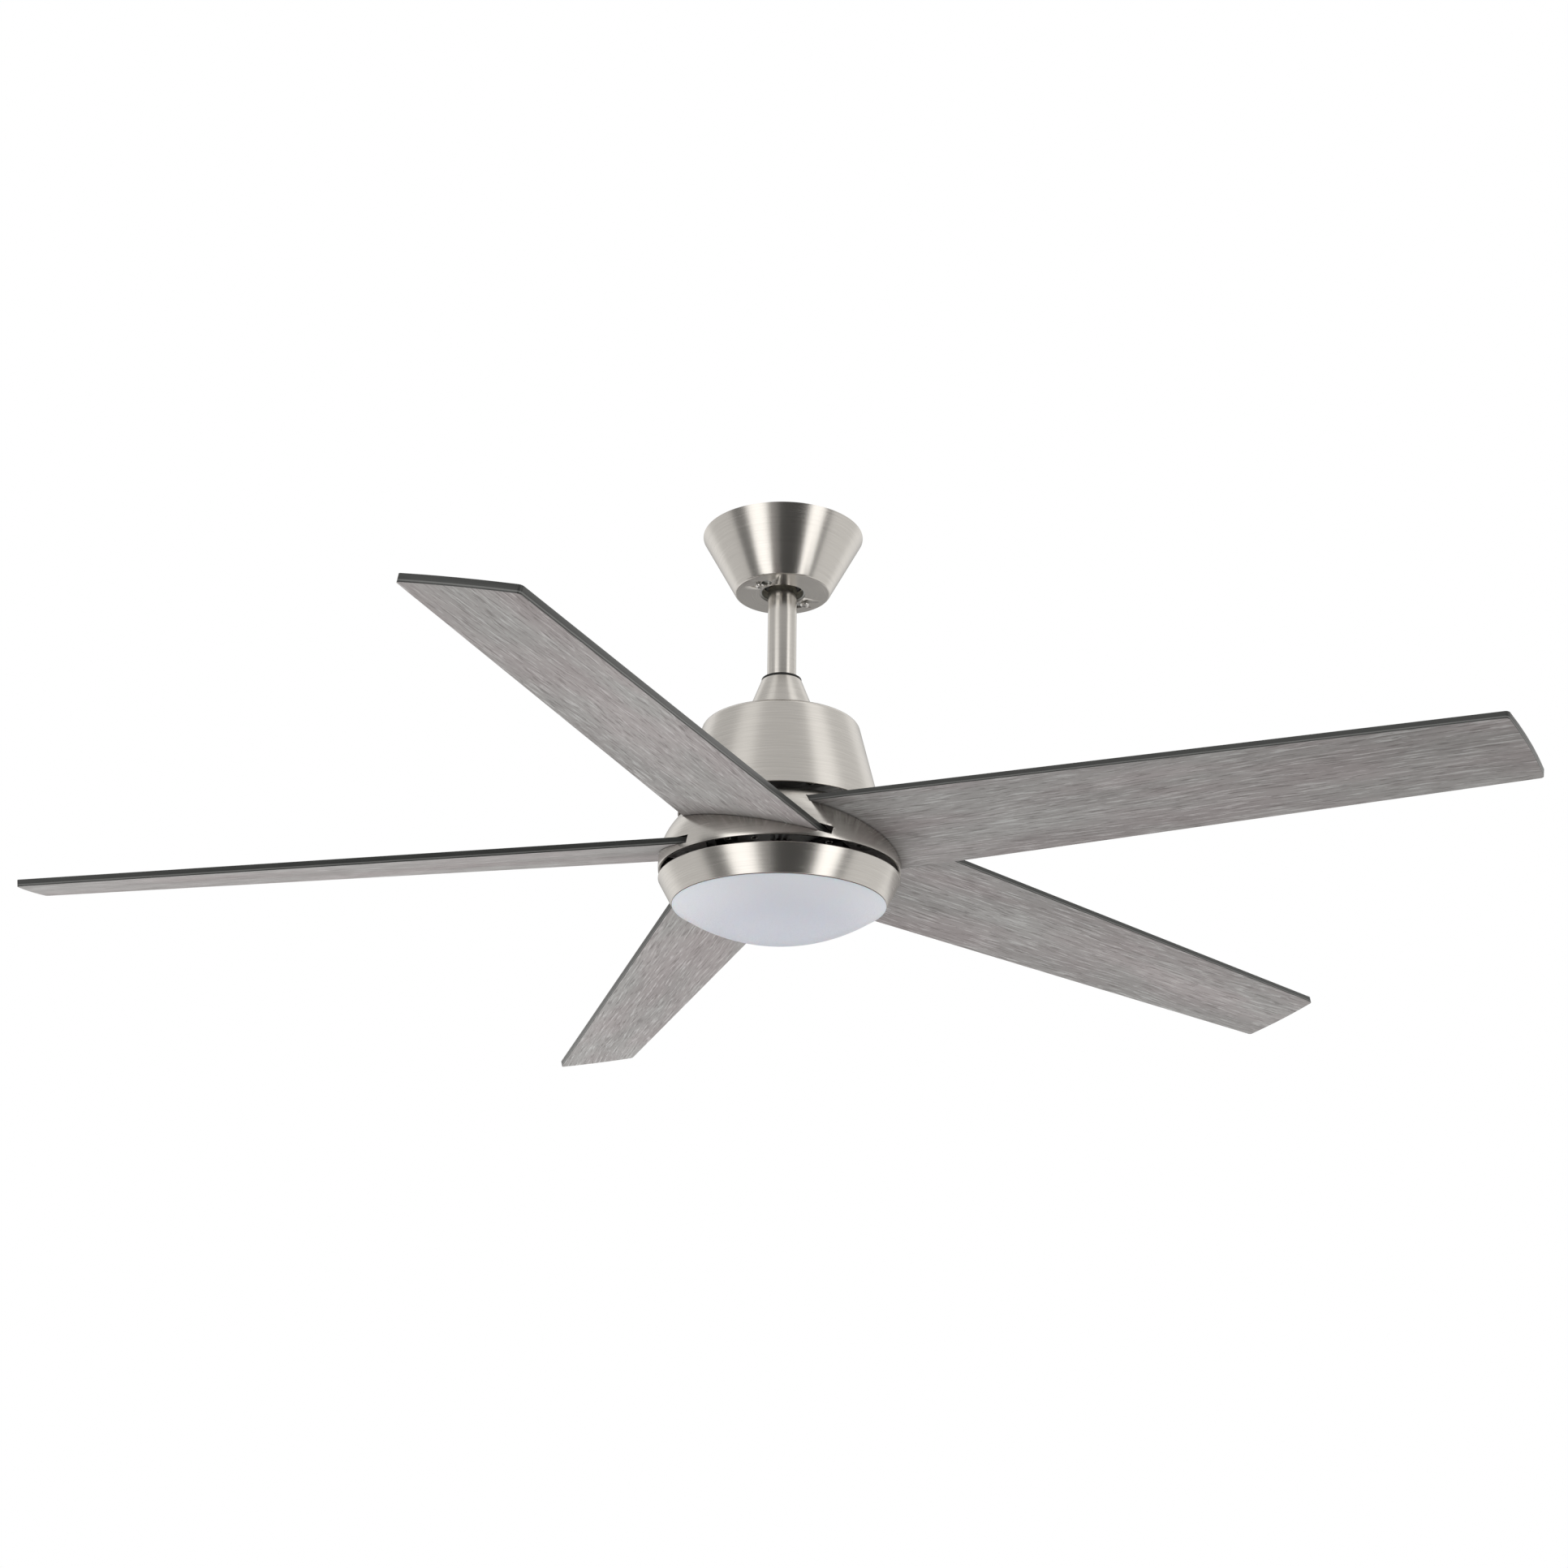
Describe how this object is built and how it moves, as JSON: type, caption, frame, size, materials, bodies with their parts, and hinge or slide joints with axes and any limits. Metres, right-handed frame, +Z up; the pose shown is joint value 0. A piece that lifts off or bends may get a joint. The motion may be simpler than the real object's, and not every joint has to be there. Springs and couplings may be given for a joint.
{
  "type": "ceiling fan with light",
  "caption": "Ceiling fan with a downrod, tapered motor housing, wide pitched grey oak blades and a shallow frosted light under the hub.",
  "frame": {"origin": "centre of the hanger bracket's top face, on the ceiling plane", "axes": "+Z up into the ceiling along the downrod; the fan hangs along -Z"},
  "size_m": [1.2228, 1.2788, 0.3926],
  "materials": {
    "brushed_nickel": "brushed satin nickel plate",
    "zinc_steel": "bright zinc-plated steel",
    "screw_steel": "polished steel screws",
    "black_plastic": "fine textured black moulding",
    "cream_nylon": "smooth natural nylon",
    "black_rubber": "soft black rubber",
    "wire_insulation": "thin PVC insulation",
    "connector_orange": "ribbed moulding",
    "green_screw": "green dyed zinc",
    "circuit_board": "lacquered board",
    "motor_steel": "stacked lacquered steel sheet",
    "copper_winding": "varnished copper wire",
    "bearing_steel": "ground steel",
    "cast_aluminium": "sand blasted casting",
    "magnet_ferrite": "dull grey ferrite",
    "dark_steel": "black electrocoat",
    "blade_oak": "weathered grey oak face with charcoal edges",
    "white_paint": "white reflective paint",
    "led_board_white": "white solder mask on aluminium",
    "led_yellow": "phosphor gel",
    "frosted_diffuser": "frosted white acrylic"
  },
  "bodies": {
    "ceiling_mount": {"hanger_bracket": "zinc_steel", "canopy_screws": "screw_steel", "receiver_box": "black_plastic", "wire_connectors": "connector_orange", "ground_screw": "green_screw"},
    "canopy": {"canopy": "brushed_nickel"},
    "ball_liner": {"ball_liner": "cream_nylon"},
    "hanging_frame": {"hanger_ball": "black_plastic", "ball_pin": "zinc_steel", "ball_set_screw": "screw_steel", "downrod": "brushed_nickel", "lead_wires": "wire_insulation", "yoke_ring": "black_rubber", "yoke_cover": "brushed_nickel", "motor_yoke": "dark_steel", "clevis_pin": "zinc_steel", "hairpin_clip": "screw_steel", "yoke_set_screws": "screw_steel", "housing_screws": "screw_steel", "motor_housing": "brushed_nickel", "control_board": "circuit_board", "board_standoffs": "cream_nylon", "motor_shaft": "bearing_steel", "stator_core": "motor_steel", "stator_windings": "copper_winding", "bearing_inner_races": "bearing_steel", "adapter_plate": "dark_steel", "shaft_nut": "zinc_steel", "pan_screws": "screw_steel", "light_pan": "brushed_nickel", "led_driver": "white_paint", "led_board": "led_board_white", "led_chips": "led_yellow"},
    "rotor": {"bearing_outer_races": "bearing_steel", "bearing_balls": "bearing_steel", "rotor_shell": "zinc_steel", "magnet_ring": "magnet_ferrite", "rotor_cover": "cast_aluminium", "rotor_screws": "screw_steel", "hub_ring": "brushed_nickel", "flywheel": "cast_aluminium", "hub_screws": "screw_steel", "carrier_screws": "screw_steel", "blade_screws": "screw_steel", "blade_carrier_1": "dark_steel", "blade_carrier_2": "dark_steel", "blade_carrier_3": "dark_steel", "blade_carrier_4": "dark_steel", "blade_carrier_5": "dark_steel", "blade_1": "blade_oak", "blade_2": "blade_oak", "blade_3": "blade_oak", "blade_4": "blade_oak", "blade_5": "blade_oak"},
    "diffuser": {"diffuser": "frosted_diffuser"}
  },
  "joints": [
    {"name": "canopy_twist", "type": "hinge", "parent": "ceiling_mount", "child": "canopy", "pos_m": [0, 0, 0], "axis": [0, 0, 1], "range_deg": [-16, 0]},
    {"name": "ball_tilt_x", "type": "hinge", "parent": "ceiling_mount", "child": "ball_liner", "pos_m": [0, 0, -0.032], "axis": [1, 0, 0], "range_deg": [-8, 8]},
    {"name": "ball_tilt_y", "type": "hinge", "parent": "ball_liner", "child": "hanging_frame", "pos_m": [0, 0, -0.032], "axis": [0, 1, 0], "range_deg": [-8, 8]},
    {"name": "rotor_spin", "type": "hinge", "parent": "hanging_frame", "child": "rotor", "pos_m": [0, 0, -0.3], "axis": [0, 0, 1], "continuous": true},
    {"name": "diffuser_twist", "type": "hinge", "parent": "hanging_frame", "child": "diffuser", "pos_m": [0, 0, -0.36], "axis": [0, 0, 1], "range_deg": [-20, 0]}
  ]
}
